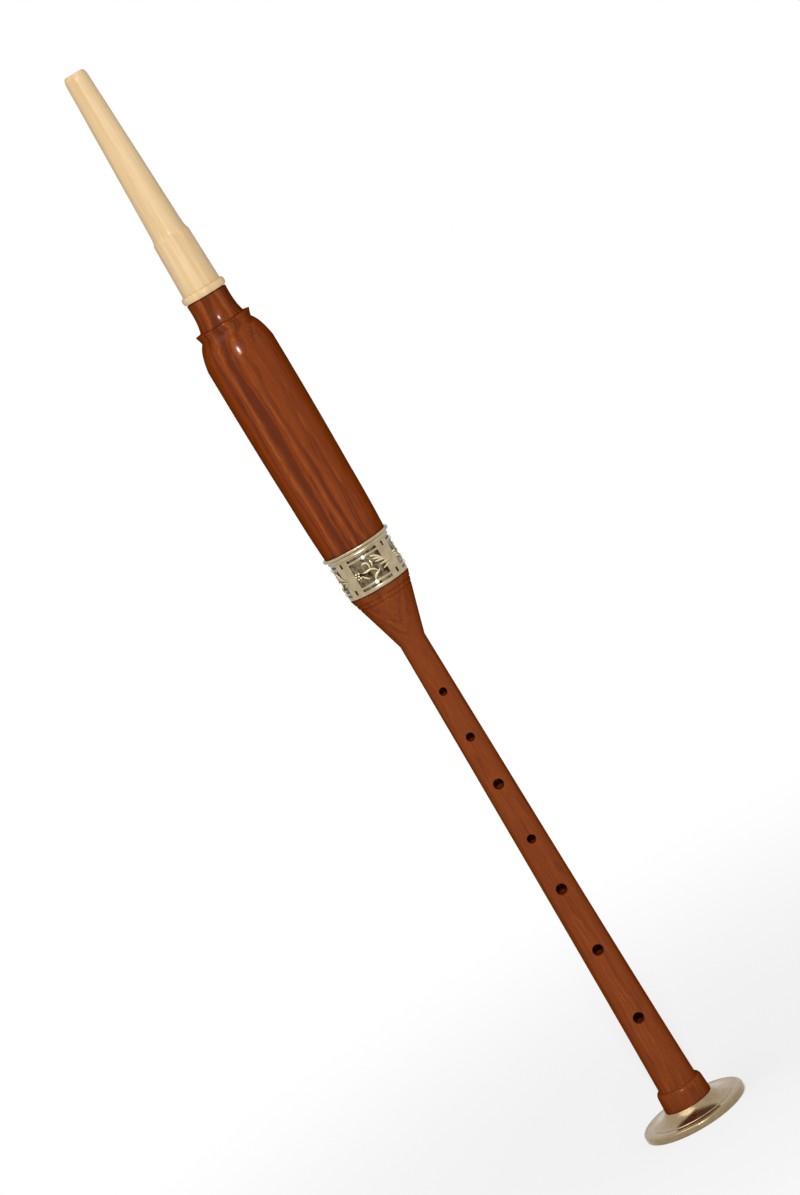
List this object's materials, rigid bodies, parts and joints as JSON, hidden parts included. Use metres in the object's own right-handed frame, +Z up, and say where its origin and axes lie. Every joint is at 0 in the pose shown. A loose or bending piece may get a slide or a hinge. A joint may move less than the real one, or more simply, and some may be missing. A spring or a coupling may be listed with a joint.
{
  "type": "practice chanter",
  "caption": "Turned wooden practice chanter with an ivory-coloured mouthpiece, panelled metal ferrule and round metal sole; its sections and reed twist and pull apart.",
  "frame": {"origin": "middle of the sole's underside, on the axis of the bore", "axes": "+Z up the bore towards the mouthpiece; -Y is the front with the finger holes, +Y the back with the thumb hole"},
  "size_m": [0.0466, 0.0466, 0.495],
  "materials": {
    "ivory_plastic": "polished ivory-coloured plastic with faint lengthwise figure",
    "barrel_rosewood": "oiled reddish rosewood with dark lengthwise streaks",
    "chanter_rosewood": "oiled reddish rosewood with fine, more even grain",
    "ferrule_silver": "warm silver-coloured metal with cast relief and dark recesses",
    "sole_silver": "warm silver-coloured metal, turned and softly polished",
    "waxed_hemp": "waxed hemp thread, wound close",
    "staple_brass": "drawn brass tube",
    "reed_cane": "scraped cane",
    "binding_thread": "dark waxed thread",
    "bridle_copper": "bright copper band"
  },
  "bodies": {
    "chanter": {"chanter": "chanter_rosewood", "sole": "sole_silver"},
    "tenon_hemp": {"tenon_hemp": "waxed_hemp"},
    "barrel": {"barrel": "barrel_rosewood", "ferrule": "ferrule_silver"},
    "mouthpiece_hemp": {"mouthpiece_hemp": "waxed_hemp"},
    "mouthpiece": {"mouthpiece": "ivory_plastic"},
    "reed_hemp": {"reed_hemp": "waxed_hemp"},
    "reed": {"reed_staple": "staple_brass", "reed_blade_front": "reed_cane", "reed_blade_back": "reed_cane", "reed_binding": "binding_thread", "reed_bridle": "bridle_copper"}
  },
  "joints": [
    {"name": "barrel_twist", "type": "hinge", "parent": "chanter", "child": "tenon_hemp", "pos_m": [0, 0, 0.257], "axis": [0, 0, 1], "continuous": true},
    {"name": "barrel_pull", "type": "slide", "parent": "tenon_hemp", "child": "barrel", "axis": [0, 0, 1], "range_m": [0, 0.066]},
    {"name": "mouthpiece_twist", "type": "hinge", "parent": "barrel", "child": "mouthpiece_hemp", "pos_m": [0, 0, 0.393], "axis": [0, 0, 1], "continuous": true},
    {"name": "mouthpiece_pull", "type": "slide", "parent": "mouthpiece_hemp", "child": "mouthpiece", "axis": [0, 0, 1], "range_m": [0, 0.025]},
    {"name": "reed_pull", "type": "slide", "parent": "chanter", "child": "reed_hemp", "axis": [0, 0, 1], "range_m": [0, 0.014]},
    {"name": "reed_twist", "type": "hinge", "parent": "reed_hemp", "child": "reed", "pos_m": [0, 0, 0.282], "axis": [0, 0, 1], "continuous": true}
  ]
}
